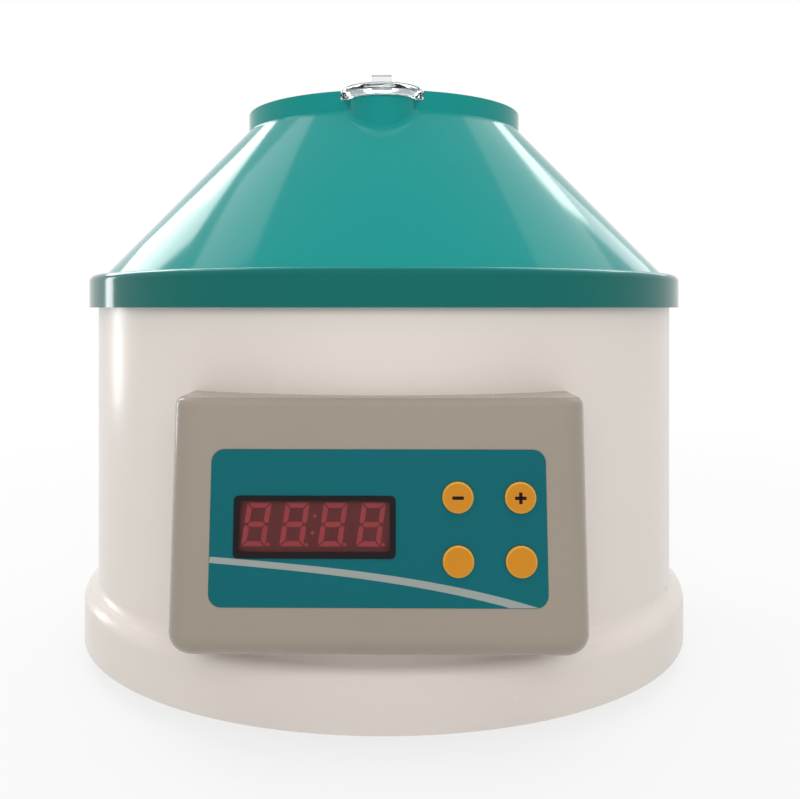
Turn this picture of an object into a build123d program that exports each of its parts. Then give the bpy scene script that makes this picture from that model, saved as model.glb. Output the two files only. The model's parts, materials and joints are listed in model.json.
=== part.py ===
from build123d import *
from math import atan2, cos, degrees, radians, sin, sqrt, tan
import os

# A table-top centrifuge: a round cabinet with a cone cover, a clear lid and a six-place angle rotor.
# The origin is on the rotor's axis at the bench, +Z is up and the control panel faces -Y.

# Feet and base plate
foot_height = 8.0
foot_radius = 11.0
foot_taper = 1.5
foot_inset = 34.5
foot_count = 4
foot_recess_radius = 5.5
foot_recess_depth = 5.0
plate_thickness = 1.5
vent_count = 8
vent_inset = 50.5
vent_length = 34.0
vent_width = 4.0

# Body shell
flange_height = 17.0
body_height = 157.0
shell_wall = 3.0
shoulder_height = 10.0
shoulder_step = 5.9
shoulder_outer_share = 0.56
ledge_width = 11.6
ledge_drop = 6.8
base_boss_inset = 12.5
base_boss_radius = 4.5
base_boss_height = 14.5
base_boss_count = 4
rib_thickness = 3.0

# Recessed pad at the back, with the mains inlet, the fuse and the switch
pad_recess = 11.6
pad_width = 100.0
pad_height = 46.0
pad_centre_height = 67.0
inlet_x = -28.0
fuse_x = 4.0
switch_x = 32.0

# Cover: ring, cone and collar
ring_overhang = 3.9
ring_height = 14.2
ring_round = 3.0
cover_wall = 2.8
ring_shelf = 6.8
cone_top_radius = 65.8
cone_height = 67.2
collar_radius = 64.7
collar_height = 9.5
collar_wall = 2.5
lid_seat_width = 5.2
lid_seat_drop = 4.7
cover_boss_radius = 4.0
cover_boss_count = 4

# Half-round boss under the lid's tongue
front_boss_radius = 15.0
front_boss_distance = 58.5
front_boss_rise = 0.8
front_boss_depth = 24.0
front_boss_fillet = 3.0

# Clear lid
lid_wall = 2.2
lid_skirt_height = 5.2
lid_step_height = 1.5
lid_step_radius = 50.0
lid_gap = 0.6
tongue_overhang = 2.0
tongue_thickness = 4.7
nub_width = 8.2
nub_depth = 3.2
nub_height = 3.3
hinge_distance = 69.0
hinge_height_over_seat = 1.8
hinge_pin_radius = 1.5
knuckle_radius = 3.4
knuckle_width = 20.0
ear_thickness = 4.0
ear_radius = 4.2

# Control housing on the front
housing_width = 140.0
housing_bottom = 38.9
housing_top = 123.2
housing_wall = 2.5
panel_proud = 15.7
panel_lean = 7.8
housing_side_round = 9.0
housing_top_round = 3.0
housing_bottom_round = 7.0
room_chamfer = 2.5
label_margin = 14.5
label_height = 51.0
label_corner = 4.3
label_recess = 0.3
label_thickness = 0.5
window_width = 53.4
window_height = 20.2
window_corner = 2.0
window_inset = 34.5
window_y = 0.2
window_thickness = 2.0
window_proud = 0.4
key_radius = 5.15
key_insets = (29.2, 8.6)
key_pitch = 20.6
key_row = -0.4
key_proud = 1.5
key_flange = 12.6
key_flange_thickness = 1.0
key_stem_radius = 2.2
key_travel = 0.5
key_edge_chamfer = 0.6
wire_hole_width = 50.0
wire_hole_height = 30.0
housing_screw_x = 34.0
housing_screw_rise = 34.0
housing_screw_length = 14.0
board_screw_length = 5.0

# Display and control board
digit_height = 14.2
digit_width = 8.0
digit_pitch = 12.7
digit_shift = -0.4
digit_row = 0.9
digit_slant = 8.0
segment_width = 1.7
segment_gap = 0.3
point_gap = 1.0
point_radius = 0.6
segment_thickness = 0.2
display_width = 50.3
display_height = 18.6
display_depth = 8.0
display_gap = 0.2
board_side_gap = 8.0
board_height = 44.0
board_drop = 4.0
board_thickness = 1.6
board_boss_radius = 3.0
board_edge = 1.5
switch_size = 6.0
switch_body_height = 3.5
plunger_radius = 1.65

# Angle rotor
place_count = 6
pocket_tilt = 35.0
mouth_circle = 42.0
mouth_height = 212.0
sleeve_radius = 12.0
sleeve_bore_radius = 10.75
sleeve_length = 93.0
sleeve_floor = 2.5
sleeve_rim_radius = 13.5
sleeve_rim_height = 2.5
cushion_radius = 9.5
cushion_height = 5.0
pocket_wall = 3.0
pocket_length = 50.0
dish_drop = 2.2
dish_thickness = 6.0
skirt_thickness = 4.0
skirt_length = 46.0
hub_radius = 15.0
hub_bottom = 158.0
hub_height = 38.0
web_thickness = 4.0
web_rise = 2.0
web_overlap = 1.0

# Shaft, adapter and nut
shaft_radius = 4.0
shaft_clear_radius = 5.0
shaft_bottom = 21.0
adapter_radius = 8.0
adapter_flange_radius = 13.0
adapter_flange_height = 4.0
nut_flats = 18.0
nut_height = 8.0
nut_dome_radius = 8.0
nut_dome_height = 6.0
nut_dome_chamfer = 3.5
washer_radius = 12.0
washer_thickness = 2.0

# Chamber bowl
rotor_gap = 9.33
bowl_side_gap = 2.0
bowl_wall = 1.5
bowl_floor_height = 112.0
bowl_corner = 12.0
lip_gap = 2.6
neck_radius = 14.0
neck_height = 8.0

# Motor and what carries it
motor_radius = 40.0
motor_bottom = 20.0
motor_height = 70.0
motor_wall = 2.5
motor_plate_thickness = 3.0
magnet_thickness = 9.0
magnet_height = 36.0
magnet_arc = 130.0
armature_radius = 27.0
armature_height = 30.0
slot_count = 8
slot_depth = 9.0
slot_width = 4.6
commutator_radius = 10.0
commutator_height = 12.0
bearing_radius = 11.0
bearing_height = 7.0
motor_floor = 3.0
bell_height = 6.0
motor_seat_height = 7.0
motor_screw_circle = 30.0
motor_screw_count = 4
brush_size = 8.0
commutator_gap = 2.0
post_circle = 62.0
post_radius = 5.0
post_count = 3
isolator_radius = 9.0
isolator_height = 12.0

# Electrical pieces at the back and on the base plate
inlet_flange = (31.0, 24.0)
inlet_body = (27.0, 20.0)
inlet_socket = (24.4, 16.8)
inlet_corner = 4.2
inlet_depth = 22.0
inlet_socket_depth = 16.0
rear_flange_thickness = 2.2
pin_size = (2.0, 4.0)
pin_pitch = 14.0
pin_row = -1.0
earth_row = 3.5
pin_tail = 6.0
pin_length = 13.0
fuse_flange_radius = 8.0
fuse_body_radius = 6.0
fuse_radius = 3.0
fuse_depth = 26.0
fuse_cap_radius = 6.5
fuse_cap_height = 5.0
fuse_cap_plug = 13.0
fuse_cap_slot_width = 1.6
fuse_cap_slot_depth = 1.7
switch_flange = (15.0, 21.0)
switch_body = (13.0, 19.0)
switch_opening = (10.6, 16.0)
switch_depth = 14.0
switch_well_depth = 9.2
rocker_throw = 11.0
switch_pivot_depth = 1.0
rocker_clearance = 1.0
rocker_middle = 3.0
rocker_root = 3.0
trunnion_radius = 1.2
trunnion_length = 0.7
power_board_size = (96.0, 44.0)
power_board_gap = 11.8
standoff_height = 8.0
standoff_radius = 3.0
transformer_size = (30.0, 46.0, 38.0)
transformer_inset = 33.0
coil_size = (38.0, 26.0, 26.0)
capacitor_radius = 8.0
capacitor_height = 24.0
capacitor_x = 14.0
capacitor_pitch = 24.0
heat_sink_x = -26.0
heat_sink_size = (36.0, 20.0, 30.0)
fin_count = 5
fin_thickness = 2.0

# Screws
screw_radius = 1.5
screw_head_radius = 3.2
screw_head_height = 2.2
screw_seat_radius = 4.2
foot_screw_radius = 2.0
foot_screw_head_radius = 4.0
foot_collar_radius = 4.0
foot_collar_height = 3.0

# Clearances between pieces
slip_gap = 0.4
moving_gap = 0.3
key_gap = 0.15
running_gap = 0.05
fit_gap = 0.1

# Radii that follow, from the rotor outwards: the chamber, the cabinet round it and what stands on that
rotor_reach = mouth_circle + sleeve_length * sin(radians(pocket_tilt)) + sleeve_radius * cos(radians(pocket_tilt))
bowl_radius = rotor_reach + rotor_gap + bowl_wall
ledge_inner = bowl_radius + bowl_side_gap
shell_inner = ledge_inner + ledge_width
body_radius = shell_inner + shell_wall
flange_radius = body_radius + shoulder_step
flange_inner = flange_radius - shell_wall
foot_circle = flange_radius - foot_inset
vent_circle = flange_radius - vent_inset
base_boss_circle = flange_inner - base_boss_inset
pad_distance = body_radius - pad_recess
panel_distance = body_radius + panel_proud
ring_radius = body_radius + ring_overhang
cone_foot_radius = ring_radius - ring_shelf
transformer_x = base_boss_circle - transformer_inset
power_board_reach = sqrt((flange_inner - power_board_gap) ** 2 - (power_board_size[0] / 2) ** 2)
power_board_y = power_board_size[1] / 2 - power_board_reach

# Places on the panel that follow from its width
label_width = housing_width - 2 * label_margin
window_x = window_inset - label_width / 2
key_columns = [label_width / 2 - inset for inset in key_insets]
board_width = housing_width - 2 * board_side_gap

# Heights and other sizes that follow
shell_bottom = foot_height
plate_top = shell_bottom + plate_thickness
shoulder_start = shell_bottom + flange_height
shoulder_end = shoulder_start + shoulder_height
body_top = shell_bottom + body_height
ledge_top = body_top - ledge_drop
pad_bottom = pad_centre_height - pad_height / 2
ring_bottom = body_top + cover_wall - ring_height
ring_top = ring_bottom + ring_height
cone_top = ring_top + cone_height
collar_top = cone_top + collar_height
collar_inner = collar_radius - collar_wall
lid_seat = collar_top - lid_seat_drop
lid_mouth_radius = collar_inner - lid_seat_width
front_boss_top = lid_seat + front_boss_rise
lid_radius = collar_inner - lid_gap
tongue_radius = front_boss_radius + tongue_overhang
notch_half = tongue_radius + slip_gap
hinge_height = lid_seat + hinge_height_over_seat
lip_top = ledge_top + bowl_wall
cover_screw_circle = ledge_inner + ledge_width / 2
panel_height = (housing_bottom + housing_top) / 2
board_depth = window_thickness - window_proud + display_gap + segment_thickness + display_depth
motor_top = motor_bottom + motor_height
post_top = motor_top - isolator_height
shaft_top = hub_bottom + hub_height + washer_thickness + nut_height
sleeve_bore_length = sleeve_rim_height + sleeve_length - sleeve_floor - cushion_height

# The control panel's outer face, its normal pointing out of the housing
panel = Plane(
    origin=(0, -panel_distance, panel_height),
    x_dir=(1, 0, 0),
    z_dir=(0, -cos(radians(panel_lean)), sin(radians(panel_lean))),
)

# The recessed pad's face, seen from behind the cabinet
rear = Plane(origin=(0, pad_distance, pad_centre_height), x_dir=(-1, 0, 0), z_dir=(0, 1, 0))

key_places = [
    (key_columns[0], key_row + key_pitch / 2),
    (key_columns[1], key_row + key_pitch / 2),
    (key_columns[0], key_row - key_pitch / 2),
    (key_columns[1], key_row - key_pitch / 2),
]
key_names = ("minus", "plus", "start", "stop")

board_boss_x = board_width / 2 - board_boss_radius - board_edge
board_boss_rise = board_height / 2 - board_boss_radius - board_edge
board_boss_places = [(x * board_boss_x, y * board_boss_rise - board_drop) for x in (-1, 1) for y in (-1, 1)]


def radial_plane(turn):
    """An upright plane through the axis: its x points outward at the angle, its y up"""
    out = (cos(radians(turn)), sin(radians(turn)), 0)
    return Plane(origin=(0, 0, 0), x_dir=out, z_dir=(out[1], -out[0], 0))


def mouth_plane(turn):
    """The plane of a rotor pocket's mouth, its normal pointing out along the tube"""
    out = (cos(radians(turn)), sin(radians(turn)))
    lean = radians(pocket_tilt)
    return Plane(
        origin=(mouth_circle * out[0], mouth_circle * out[1], mouth_height),
        x_dir=(-out[1], out[0], 0),
        z_dir=(-sin(lean) * out[0], -sin(lean) * out[1], cos(lean)),
    )


def along_pocket(depth, side):
    """(radius, height) of a point at a depth down a pocket's axis and a distance outward from it"""
    lean = radians(pocket_tilt)
    radius = mouth_circle + depth * sin(lean) + side * cos(lean)
    height = mouth_height - depth * cos(lean) + side * sin(lean)
    return (radius, height)


def polar(circle, count, start):
    """Places evenly spaced round a circle"""
    step = 360 / count
    return [(circle * cos(radians(start + step * k)), circle * sin(radians(start + step * k))) for k in range(count)]


def keep(piece, name):
    """Label a finished piece and write it to its own file"""
    piece.part.label = name
    export_step(piece.part, f"parts/{name}.step")


os.makedirs("parts", exist_ok=True)

# Cabinet

shoulder_turn = 2 * degrees(atan2(shoulder_step, shoulder_height))
shoulder_radii = shoulder_height / sin(radians(shoulder_turn))
base_boss_places = polar(base_boss_circle, base_boss_count, 0)
housing_screw_places = [(x * housing_screw_x, z * housing_screw_rise) for x in (-1, 1) for z in (-1, 1)]
seat_distance = sqrt(shell_inner**2 - (housing_screw_x + screw_head_radius) ** 2) - fit_gap
cover_screw_places = polar(cover_screw_circle, cover_boss_count, 45)

with BuildPart() as body_shell:
    with BuildSketch(Plane.XZ):
        with BuildLine():
            foot_edge = Line((flange_inner, shell_bottom), (flange_radius, shell_bottom))
            side = Line(foot_edge @ 1, (flange_radius, shoulder_start))
            outer_round = JernArc(side @ 1, side % 1, shoulder_radii * shoulder_outer_share, shoulder_turn)
            inner_round = JernArc(
                outer_round @ 1, outer_round % 1, shoulder_radii * (1 - shoulder_outer_share), -shoulder_turn
            )
            Polyline(
                inner_round @ 1,
                (body_radius, body_top),
                (shell_inner, body_top),
                (shell_inner, ledge_top),
                (ledge_inner, ledge_top),
                (ledge_inner, ledge_top - shell_wall),
                (shell_inner, ledge_top - shell_wall),
                (shell_inner, shoulder_end),
                (flange_inner, shoulder_start),
                foot_edge @ 0,
            )
        make_face()
    revolve(axis=Axis.Z)
    # Tub of the recessed pad at the back
    with BuildSketch(Plane.XY.offset(pad_bottom - shell_wall)):
        Circle(body_radius - shell_wall / 2)
        with Locations((0, pad_distance - shell_wall)):
            Rectangle(
                pad_width + 2 * shell_wall, body_radius, align=(Align.CENTER, Align.MIN), mode=Mode.INTERSECT
            )
    extrude(amount=pad_height + 2 * shell_wall)
    with BuildSketch(rear):
        Rectangle(pad_width, pad_height)
    extrude(amount=body_radius, mode=Mode.SUBTRACT)
    # Openings in the pad for the inlet, the fuse holder and the switch
    with BuildSketch(rear):
        with Locations((-inlet_x, 0)):
            Rectangle(inlet_body[0] + 2 * fit_gap, inlet_body[1] + 2 * fit_gap)
        with Locations((-fuse_x, 0)):
            Circle(fuse_body_radius + fit_gap)
        with Locations((-switch_x, 0)):
            Rectangle(switch_body[0] + 2 * fit_gap, switch_body[1] + 2 * fit_gap)
    extrude(amount=-2 * shell_wall, mode=Mode.SUBTRACT)
    # Bosses and ribs for the base plate's screws
    with BuildSketch(Plane.XY.offset(plate_top)):
        with Locations(*base_boss_places):
            Circle(base_boss_radius)
        with PolarLocations((base_boss_circle + flange_radius) / 2 - shell_wall / 4, base_boss_count):
            Rectangle(flange_radius - base_boss_circle - shell_wall / 2, rib_thickness)
    extrude(amount=base_boss_height)
    with BuildSketch(Plane.XY.offset(plate_top)):
        with Locations(*base_boss_places):
            Circle(screw_radius)
    extrude(amount=base_boss_height - shell_wall, mode=Mode.SUBTRACT)
    # Holes in the ledge for the cover's screws
    with BuildSketch(Plane.XY.offset(ledge_top)):
        with Locations(*cover_screw_places):
            Circle(screw_radius + fit_gap)
    extrude(amount=-shell_wall, mode=Mode.SUBTRACT)
    # Flat seats and holes for the control housing's screws, and the opening for its wires
    with BuildSketch(Plane.XZ.offset(seat_distance)):
        with Locations(*[(x, z + panel_height) for x, z in housing_screw_places]):
            Circle(screw_seat_radius)
    extrude(until=Until.NEXT)
    with BuildSketch(Plane.XZ):
        with Locations(*[(x, z + panel_height) for x, z in housing_screw_places]):
            Circle(screw_radius + fit_gap)
        with Locations((0, panel_height)):
            Rectangle(wire_hole_width, wire_hole_height)
    extrude(amount=body_radius, mode=Mode.SUBTRACT)
keep(body_shell, "body_shell")

foot_places = polar(foot_circle, foot_count, 45)
post_places = polar(post_circle, post_count, 90)
standoff_places = [
    (x * (power_board_size[0] / 2 - standoff_radius), power_board_y + y * (power_board_size[1] / 2 - standoff_radius))
    for x in (-1, 1)
    for y in (-1, 1)
]

with BuildPart() as base_plate:
    with BuildSketch(Plane.XY.offset(shell_bottom)):
        Circle(flange_inner - slip_gap)
        with Locations(*foot_places):
            Circle(foot_screw_radius, mode=Mode.SUBTRACT)
        with Locations(*base_boss_places):
            Circle(screw_radius + fit_gap, mode=Mode.SUBTRACT)
        with PolarLocations(vent_circle, vent_count, start_angle=180 / vent_count):
            Rectangle(vent_width, vent_length, mode=Mode.SUBTRACT)
    extrude(amount=plate_thickness)
    # Collars pressed up round the holes for the foot screws
    with BuildSketch(Plane.XY.offset(plate_top)):
        with Locations(*foot_places):
            Circle(foot_collar_radius)
            Circle(foot_screw_radius, mode=Mode.SUBTRACT)
    extrude(amount=foot_collar_height)
keep(base_plate, "base_plate")

with BuildPart() as rubber_feet:
    with BuildSketch():
        with Locations(*foot_places):
            Circle(foot_radius - foot_taper)
    extrude(amount=foot_height, taper=-degrees(atan2(foot_taper, foot_height)))
    with BuildSketch():
        with Locations(*foot_places):
            Circle(foot_recess_radius)
    extrude(amount=foot_recess_depth, mode=Mode.SUBTRACT)
    with BuildSketch(Plane.XY.offset(foot_height)):
        with Locations(*foot_places):
            Circle(foot_screw_radius)
    extrude(amount=-foot_height, mode=Mode.SUBTRACT)
keep(rubber_feet, "rubber_feet")

# Chamber: the bowl on the cabinet's ledge and the seal round the shaft

bowl_inner = bowl_radius - bowl_wall
bowl_floor_top = bowl_floor_height + bowl_wall
with BuildPart() as chamber_bowl:
    with BuildSketch(Plane.XZ):
        Polygon(
            (shell_inner - lip_gap, ledge_top),
            (shell_inner - lip_gap, lip_top),
            (bowl_inner, lip_top),
            (bowl_inner, bowl_floor_top + bowl_corner),
            (bowl_inner - bowl_corner, bowl_floor_top),
            (neck_radius, bowl_floor_top),
            (neck_radius, bowl_floor_top + neck_height),
            (neck_radius - bowl_wall, bowl_floor_top + neck_height),
            (neck_radius - bowl_wall, bowl_floor_height),
            (bowl_radius - bowl_corner, bowl_floor_height),
            (bowl_radius, bowl_floor_height + bowl_corner),
            (bowl_radius, ledge_top),
            align=None,
        )
    revolve(axis=Axis.Z)
    with BuildSketch(Plane.XY.offset(ledge_top)):
        with Locations(*cover_screw_places):
            Circle(screw_radius + fit_gap)
    extrude(amount=bowl_wall, mode=Mode.SUBTRACT)
keep(chamber_bowl, "chamber_bowl")

with BuildPart() as shaft_seal:
    with BuildSketch(Plane.XZ):
        Polygon(
            (shaft_radius + moving_gap, bowl_floor_height),
            (neck_radius - bowl_wall, bowl_floor_height),
            (neck_radius - bowl_wall, bowl_floor_top + neck_height),
            (neck_radius, bowl_floor_top + neck_height),
            (neck_radius, bowl_floor_top + neck_height + bowl_wall),
            (shaft_radius + moving_gap + bowl_wall, bowl_floor_top + neck_height + 2 * bowl_wall),
            (shaft_radius + moving_gap, bowl_floor_top + neck_height),
            align=None,
        )
    revolve(axis=Axis.Z)
keep(shaft_seal, "shaft_seal")

# Cover: ring, cone, collar, the half-round boss in front and the hinge's ears behind

cone_run = (cone_foot_radius - cone_top_radius) / cone_height
cone_thickness = cover_wall * sqrt(1 + cone_run**2)


def cone_radius(height, depth=0.0):
    """Radius of the cone at a height, on its outside or a horizontal depth inside it"""
    return cone_foot_radius - (height - ring_top) * cone_run - depth


def cone_height_at(radius, depth=0.0):
    """Height of the cone at a radius, on its outside or a horizontal depth inside it"""
    return ring_top + (cone_foot_radius - depth - radius) / cone_run


seat_underside = lid_seat - collar_wall
ear_offset = knuckle_width / 2 + moving_gap
ear_root = collar_inner + collar_wall / 2
ear_tip = hinge_distance + ear_radius

with BuildPart() as cone_cover:
    # Ring and cone, the cone run on to the collar's top
    with BuildSketch(Plane.XZ) as cover_profile:
        Polygon(
            (0, ring_bottom),
            (ring_radius, ring_bottom),
            (ring_radius, ring_top),
            (cone_foot_radius, ring_top),
            (cone_radius(collar_top), collar_top),
            (0, collar_top),
            align=None,
        )
        fillet(cover_profile.vertices().sort_by_distance((ring_radius, ring_top, 0))[0], radius=ring_round)
    revolve(axis=Axis.Z)
    # Half-round boss in front, with a fillet where it stands on the cone, and the collar over both
    with BuildSketch(Plane.XY.offset(collar_top)):
        with Locations((0, -front_boss_distance)):
            Circle(front_boss_radius)
    extrude(amount=-front_boss_depth)
    fillet(cone_cover.edges().filter_by(GeomType.BSPLINE), radius=front_boss_fillet)
    with BuildSketch(Plane.XY.offset(cone_top)):
        Circle(collar_radius)
    extrude(amount=collar_height)
    # Ears for the lid's hinge pin behind
    with BuildSketch(Plane.YZ):
        Polygon(
            (ear_root, cone_height_at(ear_root, cone_thickness / 2)),
            (ear_root, collar_top),
            (hinge_distance, collar_top),
            (ear_tip, hinge_height),
            (ear_tip, cone_height_at(ear_tip, cone_thickness / 2)),
            align=None,
        )
        with Locations((hinge_distance, hinge_height)):
            Circle(ear_radius)
    extrude(amount=ear_offset + ear_thickness, both=True)
    with BuildSketch(Plane.YZ):
        Polygon(
            (collar_radius, cone_height_at(collar_radius)),
            (collar_radius, 2 * collar_top),
            (ear_tip + ear_thickness, 2 * collar_top),
            (ear_tip + ear_thickness, cone_height_at(ear_tip + ear_thickness)),
            align=None,
        )
    extrude(amount=ear_offset, both=True, mode=Mode.SUBTRACT)
    # Hollow inside: the room for the cabinet's rim, the inner cone, the mouth and the lid's seat
    with BuildSketch(Plane.XZ):
        Polygon(
            (0, shell_bottom),
            (body_radius + slip_gap, shell_bottom),
            (body_radius + slip_gap, body_top),
            (cone_radius(body_top, cone_thickness), body_top),
            (cone_radius(seat_underside, cone_thickness), seat_underside),
            (lid_mouth_radius, seat_underside),
            (lid_mouth_radius, lid_seat),
            (collar_inner, lid_seat),
            (collar_inner, 2 * collar_top),
            (0, 2 * collar_top),
            align=None,
        )
    revolve(axis=Axis.Z, mode=Mode.SUBTRACT)
    with BuildSketch(Plane.XY.offset(front_boss_top - collar_wall)):
        with Locations((0, -front_boss_distance)):
            Circle(front_boss_radius - collar_wall)
    extrude(amount=-2 * front_boss_depth, mode=Mode.SUBTRACT)
    # Notches in the collar for the lid's tongue in front and its arm behind
    with BuildSketch(Plane.XY.offset(front_boss_top)):
        Rectangle(2 * notch_half, 2 * collar_radius, align=(Align.CENTER, Align.MAX))
    extrude(amount=collar_height, mode=Mode.SUBTRACT)
    with BuildSketch(Plane.XY.offset(lid_seat)):
        Rectangle(2 * ear_offset, 2 * collar_radius, align=(Align.CENTER, Align.MIN))
    extrude(amount=collar_height, mode=Mode.SUBTRACT)
    # Hole for the hinge pin
    with BuildSketch(Plane.YZ):
        with Locations((hinge_distance, hinge_height)):
            Circle(hinge_pin_radius)
    extrude(amount=ear_offset + ear_thickness, both=True, mode=Mode.SUBTRACT)
    # Bosses for the screws that come up through the cabinet's ledge and the bowl's lip
    with BuildSketch(Plane.XY.offset(lip_top)):
        with Locations(*cover_screw_places):
            Circle(cover_boss_radius)
    extrude(until=Until.NEXT)
    with BuildSketch(Plane.XY.offset(lip_top)):
        with Locations(*cover_screw_places):
            Circle(screw_radius)
    extrude(amount=body_top - lip_top, mode=Mode.SUBTRACT)
keep(cone_cover, "cone_cover")

# Clear lid with its tongue, nub and hinge arm, and the pin it turns on

lid_top = lid_seat + lid_skirt_height
skirt_inner = lid_radius - collar_wall
arm_bottom = lid_top - lid_wall

with BuildPart() as clear_lid:
    with BuildSketch(Plane.XZ):
        Polygon(
            (0, lid_top + lid_step_height),
            (lid_step_radius, lid_top + lid_step_height),
            (lid_step_radius + lid_step_height, lid_top),
            (lid_radius, lid_top),
            (lid_radius, lid_seat),
            (skirt_inner, lid_seat),
            (skirt_inner, lid_top - lid_wall),
            (lid_step_radius + lid_step_height - lid_wall / 2, lid_top - lid_wall),
            (lid_step_radius - lid_wall / 2, lid_top + lid_step_height - lid_wall),
            (0, lid_top + lid_step_height - lid_wall),
            align=None,
        )
    revolve(axis=Axis.Z)
    # Tongue over the front boss, hollow from below
    with BuildSketch(Plane.XY.offset(front_boss_top)):
        with Locations((0, -front_boss_distance)):
            Circle(tongue_radius)
        Rectangle(2 * tongue_radius, front_boss_distance, align=(Align.CENTER, Align.MAX))
        Circle(skirt_inner, mode=Mode.SUBTRACT)
    extrude(amount=tongue_thickness)
    with BuildSketch(Plane.XY.offset(front_boss_top)):
        with Locations((0, -front_boss_distance)):
            Circle(tongue_radius - tongue_overhang)
        Circle(lid_radius, mode=Mode.SUBTRACT)
    extrude(amount=tongue_thickness - lid_wall, mode=Mode.SUBTRACT)
    with BuildSketch(Plane.XY.offset(front_boss_top + tongue_thickness)):
        with Locations((0, nub_depth - front_boss_distance - tongue_radius)):
            Rectangle(nub_width, nub_depth, align=(Align.CENTER, Align.MIN))
    extrude(amount=nub_height)
    # Arm and knuckle of the hinge
    with BuildSketch(Plane.YZ):
        Polygon(
            (skirt_inner, arm_bottom),
            (skirt_inner, lid_top),
            (hinge_distance, lid_top),
            (hinge_distance, arm_bottom),
            align=None,
        )
        with Locations((hinge_distance, hinge_height)):
            Circle(knuckle_radius)
    extrude(amount=knuckle_width / 2, both=True)
    with BuildSketch(Plane.YZ):
        with Locations((hinge_distance, hinge_height)):
            Circle(hinge_pin_radius + running_gap)
    extrude(amount=knuckle_width, both=True, mode=Mode.SUBTRACT)
keep(clear_lid, "clear_lid")

with BuildPart() as hinge_pin:
    with BuildSketch(Plane.YZ):
        with Locations((hinge_distance, hinge_height)):
            Circle(hinge_pin_radius)
    extrude(amount=ear_offset + ear_thickness, both=True)
keep(hinge_pin, "hinge_pin")

# Control housing: a moulded box, open towards the cabinet's wall

lean_slope = tan(radians(panel_lean))
panel_bottom_y = -panel_distance - (panel_height - housing_bottom) * lean_slope
panel_top_y = -panel_distance + (housing_top - panel_height) * lean_slope
housing_back = -sqrt(body_radius**2 - (housing_width / 2) ** 2) + housing_side_round
window_depth = window_thickness - window_proud
screw_boss_radius = screw_radius + housing_wall
board_plane = panel.offset(-board_depth)

# The room inside: rounded at the sides like the box, level above and below, its lower edges cut off
inner_side = housing_width / 2 - housing_wall
room_floor = housing_bottom + housing_wall
room_front = -panel_distance - (panel_height - room_floor) * lean_slope + housing_wall / cos(radians(panel_lean))
across_the_panel = Plane(
    origin=panel.origin - panel.z_dir * housing_wall,
    x_dir=(1, 0, 0),
    z_dir=-panel.y_dir,
)
with BuildPart() as housing_room:
    with BuildSketch(across_the_panel) as room_plan:
        Rectangle(2 * inner_side, 2 * panel_distance, align=(Align.CENTER, Align.MAX))
        front_corners = room_plan.vertices().group_by(Axis.Y)[-1]
        fillet(front_corners, radius=housing_side_round - housing_wall)
    extrude(amount=housing_top, both=True)
    with BuildSketch(Plane.XZ):
        Polygon(
            (room_chamfer - inner_side, room_floor),
            (inner_side - room_chamfer, room_floor),
            (inner_side, room_floor + room_chamfer),
            (inner_side, housing_top - housing_wall),
            (-inner_side, housing_top - housing_wall),
            (-inner_side, room_floor + room_chamfer),
            align=None,
        )
    extrude(amount=2 * panel_distance, both=True, mode=Mode.INTERSECT)
    with BuildSketch(Plane.YZ):
        Polygon(
            (room_front, room_floor),
            (room_front + room_chamfer, room_floor),
            (room_front, room_floor + room_chamfer),
            align=None,
        )
    extrude(amount=housing_width, both=True, mode=Mode.SUBTRACT)

with BuildPart() as control_housing:
    with BuildSketch(Plane.YZ):
        Polygon(
            (panel_bottom_y, housing_bottom),
            (panel_top_y, housing_top),
            (housing_back, housing_top),
            (housing_back, housing_bottom),
            align=None,
        )
    extrude(amount=housing_width / 2, both=True)
    up_the_panel = Axis((0, 0, 0), panel.y_dir)
    fillet(control_housing.edges().filter_by(up_the_panel), radius=housing_side_round)
    top_edges = control_housing.edges().group_by(Axis.Z)[-1].filter_by_position(
        Axis.Y, -2 * flange_radius, housing_back - housing_wall
    )
    fillet(top_edges, radius=housing_top_round)
    bottom_edges = control_housing.edges().group_by(Axis.Z)[0].filter_by_position(
        Axis.Y, -2 * flange_radius, housing_back - housing_wall
    )
    fillet(bottom_edges, radius=housing_bottom_round)
    add(housing_room.part, mode=Mode.SUBTRACT)
    # Bosses for the screws from inside the cabinet
    for rise in (-housing_screw_rise, housing_screw_rise):
        boss_front = panel_distance - rise * lean_slope - housing_wall / 2
        with BuildSketch(Plane.XZ.offset(boss_front)):
            with Locations((-housing_screw_x, panel_height + rise), (housing_screw_x, panel_height + rise)):
                Circle(screw_boss_radius)
        extrude(amount=seat_distance - boss_front)
    # Posts that carry the control board
    with BuildSketch(board_plane):
        with Locations(*board_boss_places):
            Circle(board_boss_radius)
    extrude(amount=board_depth - housing_wall / 2)
    # Seat against the cabinet's round wall, and the holes for the screws
    with BuildSketch():
        Circle(body_radius)
    extrude(amount=body_top, mode=Mode.SUBTRACT)
    with BuildSketch(Plane.XZ.offset(seat_distance)):
        with Locations(*[(x, z + panel_height) for x, z in housing_screw_places]):
            Circle(screw_radius)
    extrude(amount=housing_screw_length, mode=Mode.SUBTRACT)
    with BuildSketch(board_plane):
        with Locations(*board_boss_places):
            Circle(screw_radius)
    extrude(amount=board_screw_length, mode=Mode.SUBTRACT)
    # Shallow seat for the label, the opening for the window and the holes for the keys
    with BuildSketch(panel):
        RectangleRounded(label_width + 2 * fit_gap, label_height + 2 * fit_gap, label_corner)
    extrude(amount=-label_recess, mode=Mode.SUBTRACT)
    with BuildSketch(panel):
        with Locations((window_x, window_y)):
            RectangleRounded(window_width + 2 * fit_gap, window_height + 2 * fit_gap, window_corner)
        with Locations(*key_places):
            Circle(key_radius + key_gap)
    extrude(amount=-2 * housing_wall, mode=Mode.SUBTRACT)
keep(control_housing, "control_housing")

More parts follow.
